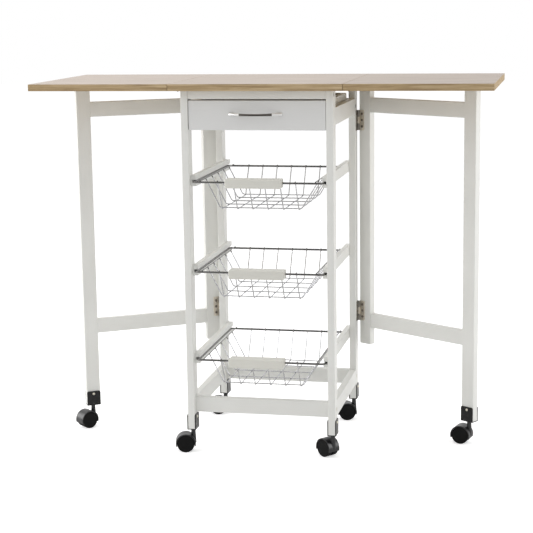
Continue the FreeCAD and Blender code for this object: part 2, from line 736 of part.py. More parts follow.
# ------------------------------------------------------------- caster brackets
def make_bracket(label, placement, thickness, depth):
    """A folded steel shoe round the foot of a post. In its own frame the post's
    narrow way is X, its broad way is Y, and the sawn end is at Z = 0."""
    body = new_body(label, placement)
    steel = cell("bracket_plate")
    half = f"({thickness} / 2)"
    wide = f"({half} + {steel})"
    top = f"({cell('bracket_height')} - {steel})"
    corners = [
        (f"-{wide}", f"-{steel}"),
        (wide, f"-{steel}"),
        (wide, top),
        (half, top),
        (half, "0"),
        (f"-{half}", "0"),
        (f"-{half}", top),
        (f"-{wide}", top),
    ]
    sketch = sketch_on(body, "XZ_Plane", f"-{depth} / 2")
    outline(sketch, corners)
    steel_pad = pad(body, sketch, depth)
    upper = []
    for index, edge in enumerate(steel_pad.Shape.Edges, start=1):
        low, high = edge.Vertexes[0].Point, edge.Vertexes[-1].Point
        short = abs(edge.Length - size["bracket_plate"]) < 1e-6
        if short and min(low.z, high.z) > value(top) - 1e-6:
            upper.append(f"Edge{index}")
    rounded = body.newObject("PartDesign::Fillet", "Corners")
    rounded.Base = (steel_pad, upper)
    rounded.setExpression("Radius", cell("bracket_corner"))
    DOC.recompute()
    bore = f"({cell('stem_diameter')} + 2 * {cell('stem_play')})"
    drill(body, "+z", ("0", "0", f"-{steel}"), bore, steel)
    level = f"({top} - {cell('bracket_screw_drop')})"
    drill(body, "+x", (f"-{wide}", "0", level), SCREW_HOLE, f"2 * {wide}")
    return body


def bracket_screws(placement, thickness):
    """Two screws through the sides of a bracket, in the bracket's own frame."""
    wide = value(thickness) / 2 + size["bracket_plate"]
    level = size["bracket_height"] - size["bracket_plate"] - size["bracket_screw_drop"]
    screws = []
    for direction, axis in ((-1, "+x"), (1, "-x")):
        spot = vector(direction * wide, 0, level)
        screw = turned_along(wood_screw(size["bracket_plate"]), axis, spot)
        screw.Placement = placement.multiply(screw.Placement)
        screws.append(screw)
    return screws


POST_MIDDLE_X = value(f"{OUTER} - {cell('post_thickness')} / 2")
POST_MIDDLE_Y = {
    "front": value(f"{FRAME_FRONT} + {cell('post_depth')} / 2"),
    "rear": value(f"{REAR_POST_FRONT} + {cell('post_depth')} / 2"),
}
feet = {}
brackets = []
for row_name in ("front", "rear"):
    for hand in (LEFT, RIGHT):
        tail = f"{row_name}_{SIDE_NAME[hand]}"
        foot = vector(hand * POST_MIDDLE_X, POST_MIDDLE_Y[row_name], size["foot_height"])
        feet[tail] = foot
        place = FreeCAD.Placement(foot, STRAIGHT)
        post = (cell("post_thickness"), cell("post_depth"))
        brackets.append(make_bracket(f"bracket_{tail}", place, *post))
        frame_screws += bracket_screws(place, post[0])
group("caster_brackets", brackets)
plain_feature("frame_screws", Part.makeCompound(frame_screws))


# ---------------------------------------------------------------------- drawer
DRAWER_HALF = f"({INNER} - {cell('drawer_side_gap')})"
BOX_HALF = f"({INNER} - {cell('drawer_box_gap')})"
BOX_INNER = f"({BOX_HALF} - {cell('drawer_wall')})"
RUNNER_TOP = f"({APRON_LEVEL} + {cell('runner_height')})"
BOX_LEVEL = f"({RUNNER_TOP} + {cell('runner_play')})"
BOX_Z = (BOX_LEVEL, cell("drawer_box_height"))
BOX_Y = (PANEL_BACK, cell("drawer_box_length"))
BACK_Y = f"({PANEL_BACK} + {cell('drawer_box_length')} - {cell('drawer_wall')})"

drawer_front = board(
    "drawer_front",
    "x",
    (PANEL_FRONT, cell("drawer_front_thickness")),
    (DRAWER_LEVEL, cell("drawer_front_height")),
    (f"-{DRAWER_HALF}", f"2 * {DRAWER_HALF}"),
)
node(soften(drawer_front, "x"))

sides = []
runners = []
for hand in (LEFT, RIGHT):
    wall_x = (span(hand, BOX_INNER, cell("drawer_wall")), cell("drawer_wall"))
    sides.append(board(f"drawer_side_{SIDE_NAME[hand]}", "y", wall_x, BOX_Z, BOX_Y))
    runner_start = f"({OUTER} - {cell('apron_thickness')} - {cell('runner_width')})"
    runner_x = (span(hand, runner_start, cell("runner_width")), cell("runner_width"))
    runner_z = (APRON_LEVEL, cell("runner_height"))
    runner_y = (FRONT_POST_BACK, BAY_DEPTH)
    runners.append(board(f"runner_{SIDE_NAME[hand]}", "y", runner_x, runner_z, runner_y))
group("drawer_sides", sides)
group("drawer_runners", runners)

INSIDE_X = (f"-{BOX_INNER}", f"2 * {BOX_INNER}")
node(board("drawer_back", "x", (BACK_Y, cell("drawer_wall")), BOX_Z, INSIDE_X))
node(
    board(
        "drawer_bottom",
        "z",
        INSIDE_X,
        (PANEL_BACK, f"{BACK_Y} - {PANEL_BACK}"),
        (
            f"({BOX_LEVEL} + {cell('drawer_bottom_lift')})",
            cell("drawer_bottom_thickness"),
        ),
    )
)


def bow_handle():
    """A shallow bow over two round feet. It stands out to -Y from Y = 0, and its
    flattened section grows from the waist to the ends."""
    half = size["bow_length"] / 2
    rise = size["bow_rise"] - size["bow_thickness"] / 2
    stations = 12
    rings = []
    for station in range(stations + 1):
        share = 2 * station / stations - 1
        point = vector(share * half, rise * (share**2 - 1), 0)
        heading = vector(half, 2 * rise * share, 0).normalize()
        waist, end = size["bow_waist"] / 2, size["bow_width"] / 2
        tall = waist + (end - waist) * share**2
        ring = flat_ring(point, UP * tall, UP.cross(heading) * size["bow_thickness"] / 2)
        rings.append(Part.makePolygon(ring + ring[:1]))
    bow = Part.makeLoft(rings, True, True)
    foot_depth = rise * (1 - (size["bow_spacing"] / size["bow_length"]) ** 2)
    feet_shapes = []
    for end in (-1, 1):
        base = vector(end * size["bow_spacing"] / 2, 0, 0)
        radius = size["bow_foot_diameter"] / 2
        feet_shapes.append(Part.makeCylinder(radius, foot_depth, base, FORWARD))
    whole = bow.multiFuse(feet_shapes)
    reach = size["bow_length"]
    behind = Part.makeBox(2 * reach, reach, reach, vector(-reach, 0, -reach / 2))
    return whole.cut(behind).removeSplitter()


handle_level = value(f"{DRAWER_LEVEL} + {cell('drawer_front_height')} / 2") + size["bow_lift"]
handle_at = vector(-size["bow_shift"], value(PANEL_FRONT), handle_level)
plain_feature("drawer_handle", bow_handle(), FreeCAD.Placement(handle_at, STRAIGHT))


# --------------------------------------------------------------------- baskets
RIM_X = f"({INNER} - {cell('strip_thickness')} + {cell('rim_engagement')})"
BASKET_NAMES = ("top", "middle", "bottom")


def basket_level(index):
    return f"({cell('top_basket_level')} - {index} * {cell('basket_pitch')})"


def strip_section(side, level):
    """A strip with a groove in its inner face, outer face on the posts."""
    outer = f"({side} * {INNER})"
    inner = f"({side} * ({INNER} - {cell('strip_thickness')}))"
    bottom = f"({side} * ({INNER} - {cell('strip_thickness')} + {cell('groove_depth')}))"
    middle = f"({level} + {cell('strip_rise')})"
    low = f"({middle} - {cell('strip_height')} / 2)"
    high = f"({middle} + {cell('strip_height')} / 2)"
    groove_low = f"({level} - {cell('rim_wire')} / 2 - {cell('groove_rest')})"
    groove_high = f"({level} + {cell('rim_wire')} / 2 + {cell('groove_air')})"
    return [
        (inner, low),
        (outer, low),
        (outer, high),
        (inner, high),
        (inner, groove_high),
        (bottom, groove_high),
        (bottom, groove_low),
        (inner, groove_low),
    ]


STRIP_START = f"({FRAME_FRONT} + {cell('strip_front_setback')})"
STRIP_LENGTH = f"({FRAME_REAR} - {cell('strip_rear_setback')} - {STRIP_START})"
for hand in (LEFT, RIGHT):
    strips = []
    for index, basket in enumerate(BASKET_NAMES):
        strip_label = f"strip_{basket}_{SIDE_NAME[hand]}"
        section = strip_section(hand, basket_level(index))
        strips.append(extrusion(strip_label, "y", section, STRIP_START, STRIP_LENGTH))
    group(f"basket_rails_{SIDE_NAME[hand]}", strips)


def bent_path(points, radius):
    """The points, with each corner between them bent round in short chords."""
    path = [points[0]]
    for before, corner, after in zip(points, points[1:], points[2:]):
        back = (before - corner).normalize()
        ahead = (after - corner).normalize()
        turn = math.pi - back.getAngle(ahead)
        first = corner + back * (radius * math.tan(turn / 2))
        centre = corner + (back + ahead).normalize() * (radius / math.cos(turn / 2))
        spoke = first - centre
        axis = back.cross(ahead) * -1
        chords = math.ceil(math.degrees(turn) / 35)
        for step in range(chords + 1):
            bend = FreeCAD.Rotation(axis, math.degrees(turn) * step / chords)
            path.append(centre + bend.multVec(spoke))
    path.append(points[-1])
    return path


def wire_along(path, diameter, across, closed=False):
    """An eight-sided wire along a flat path, mitred where the path turns. The
    given direction stands square to the path."""
    rings = []
    count = len(path)
    for index, point in enumerate(path):
        arriving = (point - path[index - 1]).normalize()
        leaving = (path[(index + 1) % count] - point).normalize()
        if not closed and index == 0:
            arriving = leaving
        if not closed and index == count - 1:
            leaving = arriving
        middle = (arriving + leaving).normalize()
        lean = across.cross(middle) * (diameter / 2 / middle.dot(arriving))
        rings.append(flat_ring(point, across * (diameter / 2), lean))
    pairs = list(zip(rings, rings[1:]))
    faces = []
    if closed:
        pairs.append((rings[-1], rings[0]))
    else:
        faces = [Part.Face(Part.makePolygon(end + end[:1])) for end in (rings[0], rings[-1])]
    for low, high in pairs:
        for corner in range(8):
            other = (corner + 1) % 8
            four = [low[corner], low[other], high[other], high[corner], low[corner]]
            faces.append(Part.Face(Part.makePolygon(four)))
    solid = Part.Solid(Part.Shell(faces))
    if solid.Volume < 0:
        solid.reverse()
    return solid


ALONG_X = vector(1, 0, 0)
ALONG_Y = vector(0, 1, 0)
LONG_WIRES = 6


def long_wire_x(index):
    """X of a wire that runs front to back."""
    return (index - (LONG_WIRES - 1) / 2) * size["long_pitch"] - size["mesh_shift"]


def long_wire_profile(front, rear):
    """Corners of a front-to-back wire, as (y, z), from rim to rim. Its ends lean
    on the inner side of the rim wires and stand a little above them."""
    thin = size["mesh_wire"]
    low = -size["basket_drop"] - thin * (1 - size["weld_sink"])
    weld = (size["rim_wire"] + thin) / 2 - size["weld_sink"] * thin
    lean = math.atan2(size["end_slope"], -low)
    inward = weld * math.cos(lean) - size["wire_end"] * math.sin(lean)
    top = weld * math.sin(lean) + size["wire_end"] * math.cos(lean)
    return [
        (front + inward, top),
        (front + size["end_slope"] + weld / math.cos(lean), low),
        (rear - size["end_slope"] - weld / math.cos(lean), low),
        (rear - inward, top),
    ]


def basket_shape():
    """A welded basket with the middle of its rim wire in the plane Z = 0."""
    half = value(RIM_X)
    front = value(FRAME_FRONT) + size["basket_setback"]
    rear = front + size["basket_length"]
    drop = size["basket_drop"]
    thin = size["mesh_wire"]
    bend = size["wire_bend"]
    middle = (front + rear) / 2
    rim_corners = [
        vector(0, front, 0),
        vector(half, front, 0),
        vector(half, rear, 0),
        vector(-half, rear, 0),
        vector(-half, front, 0),
        vector(0, front, 0),
    ]
    rim = bent_path(rim_corners, size["rim_bend"])[1:-1]
    pieces = [wire_along(rim, size["rim_wire"], UP, closed=True)]
    inner = half - size["side_wire_inset"]
    floor_half = inner - size["side_slope"]
    upper = (size["rim_wire"] + thin) / 2 - size["weld_sink"] * thin
    for side in (LEFT, RIGHT):
        ends = [
            vector(side * inner, front - size["rim_wire"] / 2, upper),
            vector(side * inner, rear + size["rim_wire"] / 2, upper),
        ]
        pieces.append(wire_along(ends, thin, UP))
    for step in range(-2, 3):
        y = middle + step * size["cross_pitch"]
        points = [
            vector(-inner, y, upper),
            vector(-floor_half - size["mesh_shift"], y, -drop),
            vector(floor_half - size["mesh_shift"], y, -drop),
            vector(inner, y, upper),
        ]
        pieces.append(wire_along(bent_path(points, bend), thin, ALONG_Y))
    profile = long_wire_profile(front, rear)
    for index in range(LONG_WIRES):
        points = [vector(long_wire_x(index), y, z) for y, z in profile]
        pieces.append(wire_along(bent_path(points, bend), thin, ALONG_X))
    return pieces[0].multiFuse(pieces[1:]).removeSplitter()


def grip_shape(shift):
    """A wooden grip over the front rim wire, which lies at Y = Z = 0."""
    low = -size["grip_below"]
    length = size["grip_length"]
    left = -length / 2 - shift
    corner = vector(left, -size["grip_reach"], low)
    block = Part.makeBox(length, size["grip_depth"], size["grip_height"], corner)
    block = block.makeChamfer(size["grip_chamfer"], block.Edges)
    room = size["rim_wire"] / 2 + size["grip_play"]
    channel = Part.makeBox(2 * length, 2 * room, 2 * room, vector(-length, -room, -room))
    cutters = [channel]
    slot = size["mesh_wire"] / 2 + size["grip_play"]
    top = long_wire_profile(0, size["basket_length"])[0][1] + slot
    for index in range(LONG_WIRES):
        slot_at = vector(long_wire_x(index) - slot, -slot, 2 * low)
        cutters.append(Part.makeBox(2 * slot, size["grip_depth"], top - 2 * low, slot_at))
    return block.cut(Part.makeCompound(cutters)).removeSplitter()


basket = basket_shape()
for index, name in enumerate(BASKET_NAMES):
    level = value(basket_level(index))
    plain_feature(f"basket_{name}", basket, FreeCAD.Placement(vector(0, 0, level), STRAIGHT))
    grip = grip_shape(size[f"grip_shift_{name}"])
    grip_at = vector(0, value(FRAME_FRONT) + size["basket_setback"], level)
    plain_feature(f"basket_grip_{name}", grip, FreeCAD.Placement(grip_at, STRAIGHT))


# ------------------------------------------------------------------- gate legs
def gate_placement(side, level=0.0):
    """The frame of a gate: the hinge pin is its Z axis, the gate runs outward."""
    pin = vector(side * value(GATE_PIN_X), value(GATE_PIN_Y), level)
    return FreeCAD.Placement(pin, FreeCAD.Rotation(UP, -side * size["gate_angle"]))


GATE_START = cell("gate_start")
OUTER_POST_START = f"({GATE_START} + {cell('gate_length')} - {cell('gate_post_width')})"
INNER_POST_END = f"({GATE_START} + {cell('gate_post_width')})"
GATE_FACE = cell("hinge_offset")
GATE_Y = (GATE_FACE, cell("gate_thickness"))
GATE_MIDDLE_Y = f"({GATE_FACE} + {cell('gate_thickness')} / 2)"
FOOT_SPAN = f"({OUTER_POST_START} + {cell('gate_post_width')} / 2)"


def make_gate(side):
    word = SIDE_NAME[side]
    place = gate_placement(side)
    width = cell("gate_post_width")

    inner_x = (span(side, GATE_START, width), width)
    inner_top = f"({UNDERSIDE} - {cell('inner_post_gap')})"
    inner_z = (cell("inner_post_foot"), f"{inner_top} - {cell('inner_post_foot')}")
    inner = board(f"gate_{word}_inner_post", "z", inner_x, GATE_Y, inner_z, place)
    soften(inner, "z")
    for alias in GATE_LEVELS.values():
        for step in (-1, 0, 1):
            at = (
                f"({side} * {PLATE_SCREW_REACH})",
                GATE_FACE,
                f"({cell(alias)} + {step} * {cell('hinge_screw_pitch')})",
            )
            drill(inner, "+y", at, SCREW_HOLE, SCREW_DEPTH)
    node(inner)

    outer_x = (span(side, OUTER_POST_START, width), width)
    outer_top = f"({UNDERSIDE} - {cell('gate_top_gap')})"
    outer_z = (cell("foot_height"), f"{outer_top} - {cell('foot_height')}")
    outer = board(f"gate_{word}_outer_post", "z", outer_x, GATE_Y, outer_z, place)
    soften(outer, "z")
    middle_x = f"({side} * {FOOT_SPAN})"
    drill(outer, "+z", (middle_x, GATE_MIDDLE_Y, cell("foot_height")), STEM_BORE, STEM_DEPTH)
    back_face = f"({GATE_FACE} + {cell('gate_thickness')})"
    drill(outer, "+y", (middle_x, GATE_FACE, BRACKET_SCREW), SCREW_HOLE, SCREW_DEPTH)
    drill(outer, "-y", (middle_x, back_face, BRACKET_SCREW), SCREW_HOLE, SCREW_DEPTH)
    node(outer)

    rail_length = f"({OUTER_POST_START} - {INNER_POST_END})"
    rail_x = (span(side, INNER_POST_END, rail_length), rail_length)
    rail_y = (
        f"({GATE_MIDDLE_Y} - {cell('gate_rail_thickness')} / 2)",
        cell("gate_rail_thickness"),
    )
    rails = []
    for alias in ("upper_gate_rail", "lower_gate_rail"):
        rail_z = (cell(alias), cell("gate_rail_height"))
        rail = board(f"{alias}_{word}", "x", rail_y, rail_z, rail_x, place)
        rails.append(soften(rail, "x"))
    group(f"gate_{word}_rails", rails)

    plates = []
    screws = []
    for name, alias in GATE_LEVELS.items():
        hinge_place = gate_placement(side, size[alias])
        plates.append(hinge_plate(f"gate_plate_{name}_{word}", hinge_place, side, turning=True))
        screws += hinge_screw_set(hinge_place, side)
    group(f"gate_{word}_hinges", plates)

    foot = place.multVec(vector(side * value(FOOT_SPAN), value(GATE_MIDDLE_Y), size["foot_height"]))
    feet[f"gate_{word}"] = foot
    quarter = FreeCAD.Rotation(UP, 90)
    bracket_place = FreeCAD.Placement(foot, place.Rotation.multiply(quarter))
    node(make_bracket(f"gate_{word}_bracket", bracket_place, cell("gate_thickness"), width))
    screws += bracket_screws(bracket_place, cell("gate_thickness"))
    plain_feature(f"gate_{word}_screws", Part.makeCompound(screws))


for hand in (LEFT, RIGHT):
    make_gate(hand)


# --------------------------------------------------------------------- casters
WHEEL_RADIUS = f"({cell('wheel_diameter')} / 2)"
HOOD_INNER = f"({WHEEL_RADIUS} + {cell('hood_play')})"
HOOD_OUTER = f"({HOOD_INNER} + {cell('hood_wall')})"
WEB_HALF = f"({cell('web_thickness')} / 2)"
WHEEL_INNER = f"({WEB_HALF} + {cell('wheel_side_play')})"
WHEEL_OUTER = f"({WHEEL_INNER} + {cell('wheel_width')})"
COLLAR_TOP = (
    f"({cell('foot_height')} - {cell('bracket_plate')} - {cell('collar_gap')})"
)


def make_fork(label, placement):
    """Hood, middle wall, neck and stem of a twin-wheel caster. The stem is
    the local Z axis on the floor, and the axle lies at X = trail."""
    body = new_body(label, placement)
    hood = sketch_on(body, "XZ_Plane", f"-{WHEEL_OUTER}")
    radius = value(HOOD_OUTER)
    droop = math.radians(size["hood_droop"])
    centre = vector(size["trail"], value(WHEEL_RADIUS), 0)
    arc = Part.Circle(centre, vector(0, 0, 1), radius)
    hood.addGeometry(Part.ArcOfCircle(arc, -droop, math.pi + droop), False)
    ends = [
        centre + vector(radius * math.cos(droop), -radius * math.sin(droop), 0),
        centre + vector(-radius * math.cos(droop), -radius * math.sin(droop), 0),
    ]
    hood.addGeometry(Part.LineSegment(ends[1], ends[0]), False)
    hood.addConstraint(Sketcher.Constraint("Coincident", 0, 1, 1, 2))
    hood.addConstraint(Sketcher.Constraint("Coincident", 0, 2, 1, 1))
    hood.addConstraint(Sketcher.Constraint("Horizontal", 1))
    dimension(hood, "DistanceX", (-1, 1), (0, 3), cell("trail"))
    dimension(hood, "DistanceY", (-1, 1), (0, 3), WHEEL_RADIUS)
    radial = hood.addConstraint(Sketcher.Constraint("Radius", 0, radius))
    hood.setExpression(f"Constraints[{radial}]", HOOD_OUTER)
    drop = f"({WHEEL_RADIUS} - {HOOD_OUTER} * sin({cell('hood_droop')} * 1 deg))"
    dimension(hood, "DistanceY", (-1, 1), (1, 1), drop)
    pad(body, hood, f"2 * {WHEEL_OUTER}")
    neck = body.newObject("PartDesign::AdditiveCone", "Neck")
    neck.setExpression("Placement.Base.z", WHEEL_RADIUS)
    neck.setExpression("Radius1", f"{cell('neck_diameter')} / 2")
    neck.setExpression("Radius2", f"{cell('collar_diameter')} / 2")
    neck.setExpression("Height", f"{COLLAR_TOP} - {WHEEL_RADIUS}")
    DOC.recompute()
    for axis, start in (("+y", WEB_HALF), ("-y", f"-{WEB_HALF}")):
        at = (cell("trail"), start, WHEEL_RADIUS)
        drill(body, axis, at, f"2 * {HOOD_INNER}", f"({WHEEL_OUTER})")
    at = (cell("trail"), f"-{WEB_HALF}", WHEEL_RADIUS)
    bore = f"({cell('axle_diameter')} + 2 * {cell('pin_play')})"
    drill(body, "+y", at, bore, cell("web_thickness"))
    stem_top = f"({cell('bracket_plate')} + {cell('collar_gap')} + {cell('stem_length')})"
    at = ("0", "0", COLLAR_TOP)
    round_feature(body, "Additive", "+z", at, cell("stem_diameter"), stem_top)
    return node(body)


def make_wheels(label, placement):
    """Two wheels and the axle between them, turned round the local Y axis."""
    axle = new_body(f"{label}_axle", placement)
    at = ("0", f"-{WHEEL_INNER}", "0")
    round_feature(axle, "Additive", "+y", at, cell("axle_diameter"), f"2 * {WHEEL_INNER}")
    members = [axle]
    edge = f"({WHEEL_RADIUS} - {cell('wheel_chamfer')})"
    face = f"({WHEEL_OUTER} - {cell('wheel_chamfer')})"
    for side, word in SIDE_NAME.items():
        body = new_body(f"{label}_{word}", placement)
        sketch = sketch_on(body, "XY_Plane", "0")
        profile = [
            ("0", WHEEL_INNER),
            (WHEEL_RADIUS, WHEEL_INNER),
            (WHEEL_RADIUS, face),
            (edge, WHEEL_OUTER),
            ("0", WHEEL_OUTER),
        ]
        if side == LEFT:
            profile = [(u, f"-({v})") for u, v in reversed(profile)]
        outline(sketch, profile)
        wheel = body.newObject("PartDesign::Revolution", "Wheel")
        wheel.Profile = sketch
        wheel.ReferenceAxis = (sketch, ["V_Axis"])
        wheel.Angle = 360
        DOC.recompute()
        members.append(body)
    return group(label, members)


for place_name in ("front_left", "front_right", "rear_left", "rear_right", "gate_left", "gate_right"):
    foot = feet[place_name]
    turn = FreeCAD.Rotation(UP, size[f"trail_{place_name}"])
    stem_place = FreeCAD.Placement(vector(foot.x, foot.y, 0), turn)
    make_fork(f"caster_{place_name}_fork", stem_place)
    axle_offset = vector(size["trail"], 0, value(WHEEL_RADIUS))
    axle_place = FreeCAD.Placement(stem_place.multVec(axle_offset), turn)
    make_wheels(f"caster_{place_name}_wheels", axle_place)


# ------------------------------------------------------------ check and export
DOC.recompute()
for thing in DOC.Objects:
    if "Invalid" in thing.State or "Error" in thing.State:
        raise RuntimeError(f"{thing.Label} did not build: {thing.State}")
for sub_part in nodes:
    shape = sub_part.Shape
    if shape.isNull() or not shape.isValid() or not shape.Solids:
        raise RuntimeError(f"{sub_part.Label} is not a valid solid")
os.makedirs("parts", exist_ok=True)
for sub_part in nodes:
    sub_part.Shape.exportStep(f"parts/{sub_part.Label}.step")
print(f"{len(nodes)} sub-parts written")
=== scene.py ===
import math

import bpy
from mathutils import Matrix, Vector


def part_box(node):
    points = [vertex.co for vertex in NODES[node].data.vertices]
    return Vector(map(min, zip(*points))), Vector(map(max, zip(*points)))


# Lengths are in metres, lamps in watts and colours linear, if nothing else is said.

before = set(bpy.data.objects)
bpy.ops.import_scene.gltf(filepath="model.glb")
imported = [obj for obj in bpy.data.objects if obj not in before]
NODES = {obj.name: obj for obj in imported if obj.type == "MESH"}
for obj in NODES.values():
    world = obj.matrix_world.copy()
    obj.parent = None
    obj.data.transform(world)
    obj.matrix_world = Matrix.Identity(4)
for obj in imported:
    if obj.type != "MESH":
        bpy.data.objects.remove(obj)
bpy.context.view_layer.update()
BASKETS = ("basket_top", "basket_middle", "basket_bottom")

# ------------------------------------------------------------------- the view
PICTURE = 533                         # pixels, both ways
FOCAL_PIXELS = 1488.96                # focal length fitted to the photograph
SENSOR = 36.0                         # mm
CAMERA_PLACE = (0.6941, -3.3531, 1.0264)
CAMERA_YAW = math.radians(12.03)      # turned to the left
CAMERA_PITCH = math.radians(10.30)    # looking down
CAMERA_ROLL = math.radians(-0.825)
NEAREST_SEEN = 0.05
FARTHEST_SEEN = 60.0


def make_camera():
    """The photograph's camera, from its fitted place and angles."""
    ahead = Vector((
        -math.sin(CAMERA_YAW) * math.cos(CAMERA_PITCH),
        math.cos(CAMERA_YAW) * math.cos(CAMERA_PITCH),
        -math.sin(CAMERA_PITCH),
    ))
    level = Vector((math.cos(CAMERA_YAW), math.sin(CAMERA_YAW), 0))
    above = level.cross(ahead)
    right = math.cos(CAMERA_ROLL) * level + math.sin(CAMERA_ROLL) * above
    up = math.cos(CAMERA_ROLL) * above - math.sin(CAMERA_ROLL) * level
    turn = Matrix((right, up, -ahead)).transposed().to_4x4()
    data = bpy.data.cameras.new("camera")
    data.sensor_width = SENSOR
    data.lens = FOCAL_PIXELS * SENSOR / PICTURE
    data.clip_start = NEAREST_SEEN
    data.clip_end = FARTHEST_SEEN
    camera = bpy.data.objects.new("camera", data)
    camera.matrix_world = Matrix.Translation(CAMERA_PLACE) @ turn
    bpy.context.scene.collection.objects.link(camera)
    bpy.context.scene.camera = camera


# ------------------------------------------------------------- node shorthand
def fill(tree, socket, what):
    """Gives a socket a number, a colour or another node's output."""
    if isinstance(what, (int, float)):
        socket.default_value = what
    elif isinstance(what, tuple):
        socket.default_value = (*what, 1.0)
    else:
        tree.links.new(what, socket)


class Shader:
    """A material's node tree, with short calls for what the finishes need."""

    def __init__(self, name):
        self.material = bpy.data.materials.new(name)
        self.material.use_nodes = True
        self.tree = self.material.node_tree
        self.surface = self.tree.nodes["Principled BSDF"]
        self.place = self.add("ShaderNodeTexCoord").outputs["Object"]

    def add(self, kind, **settings):
        node = self.tree.nodes.new(kind)
        for key, setting in settings.items():
            setattr(node, key, setting)
        return node

    def link(self, source, target):
        self.tree.links.new(source, target)

    def to(self, name, what):
        fill(self.tree, self.surface.inputs[name], what)

    def stretched(self, scale, shift=(0, 0, 0)):
        """Coordinates scaled along each axis, so that noise becomes grain."""
        mapping = self.add("ShaderNodeMapping")
        mapping.inputs["Scale"].default_value = scale
        mapping.inputs["Location"].default_value = shift
        self.link(self.place, mapping.inputs["Vector"])
        return mapping.outputs["Vector"]

    def noise(self, where, scale, detail, roughness=0.5, distortion=0.0):
        node = self.add("ShaderNodeTexNoise")
        node.inputs["Scale"].default_value = scale
        node.inputs["Detail"].default_value = detail
        node.inputs["Roughness"].default_value = roughness
        node.inputs["Distortion"].default_value = distortion
        self.link(where, node.inputs["Vector"])
        return node.outputs["Fac"]

    def ramp(self, value, *stops):
        """Colours or greys along a value. Each stop is (position, colour)."""
        node = self.add("ShaderNodeValToRGB")
        band = node.color_ramp
        while len(band.elements) < len(stops):
            band.elements.new(0.5)
        for element, (position, colour) in zip(band.elements, stops):
            element.position = position
            if not isinstance(colour, tuple):
                colour = (colour, colour, colour)
            element.color = (*colour, 1.0)
        self.link(value, node.inputs["Fac"])
        return node.outputs["Color"]

    def mix(self, amount, first, second):
        node = self.add("ShaderNodeMix", data_type="RGBA", blend_type="MIX")
        for name, what in (("Factor", amount), ("A", first), ("B", second)):
            socket = [s for s in node.inputs if s.name == name and s.enabled][0]
            fill(self.tree, socket, what)
        return [s for s in node.outputs if s.enabled][0]

    def bump(self, height, strength, distance):
        node = self.add("ShaderNodeBump")
        node.inputs["Strength"].default_value = strength
        node.inputs["Distance"].default_value = distance
        self.link(height, node.inputs["Height"])
        self.link(node.outputs["Normal"], self.surface.inputs["Normal"])


# -------------------------------------------------------------------- finishes
ALONG = {"x": (1, 12, 12), "y": (12, 1, 12), "z": (12, 12, 1)}
EVENLY = (1, 1, 1)


def painted_wood(name, along, colour, shade):
    """Sprayed paint over wood: the grain just shows, with faint blotches."""
    shader = Shader(name)
    grain = shader.noise(shader.stretched(ALONG[along]),
                         scale=26.0, detail=5.0, roughness=0.62)
    blotch = shader.noise(shader.place, scale=9.0, detail=2.0)
    speck = shader.noise(shader.place, scale=900.0, detail=2.0)
    clouded = shader.mix(shader.ramp(blotch, (0.3, 0.0), (0.7, 1.0)), shade, colour)
    grained = shader.ramp(grain, (0.25, shade), (0.6, colour))
    shader.to("Base Color", shader.mix(0.35, clouded, grained))
    shader.to("Roughness", shader.ramp(blotch, (0.2, 0.36), (0.8, 0.46)))
    shader.bump(shader.mix(0.25, grain, speck), strength=0.16, distance=0.0006)
    return shader.material


def oak_laminate(name, shift, top, edge):
    """Printed oak board: long streaks along X, broad figure and short pores.

    The top print and the edge band are each given as dark, mid and pale; the edge band is
    really darker, and the top is made paler with painted light and sheen.
    """
    shader = Shader(name)
    wave = shader.noise(shader.stretched((1.3, 9.0, 9.0), shift),
                        scale=2.0, detail=3.0, roughness=0.5, distortion=0.9)
    streak = shader.noise(shader.stretched((4.5, 120.0, 120.0), shift),
                          scale=1.9, detail=6.0, roughness=0.62, distortion=0.3)
    fine = shader.noise(shader.stretched((5.0, 420.0, 420.0), shift),
                        scale=1.8, detail=4.0, roughness=0.6)
    prints = []
    for dark, mid, pale in (top, edge):
        streaked = shader.ramp(streak, (0.40, dark), (0.49, mid), (0.58, pale))
        figure = shader.ramp(wave, (0.40, 0.0), (0.60, 0.55))
        pores = shader.ramp(fine, (0.38, dark), (0.6, pale))
        prints.append(shader.mix(0.25, shader.mix(figure, streaked, mid), pores))
    # Faces turned up get the paler top print: partly the real edge band's difference, partly
    # painted light and sheen.
    upward = shader.add("ShaderNodeSeparateXYZ")
    shader.link(shader.add("ShaderNodeNewGeometry").outputs["Normal"], upward.inputs[0])
    facing_up = shader.ramp(upward.outputs["Z"], (0.35, 0.0), (0.65, 1.0))
    top_print, edge_print = prints
    shader.to("Base Color", shader.mix(facing_up, edge_print, top_print))
    shader.to("Roughness", shader.ramp(fine, (0.3, 0.62), (0.7, 0.52)))
    shader.to("Specular IOR Level", 0.25)
    shader.bump(fine, strength=0.10, distance=0.0004)
    return shader.material


SMEAR_COLOUR = 0.82          # a smear's share of the plating's own colour
SMEAR_ROUGHNESS = 1.5        # and how much rougher it is
PAINTED_BAND_BLEND = 0.0005       # half the width of the blend into a painted dark band
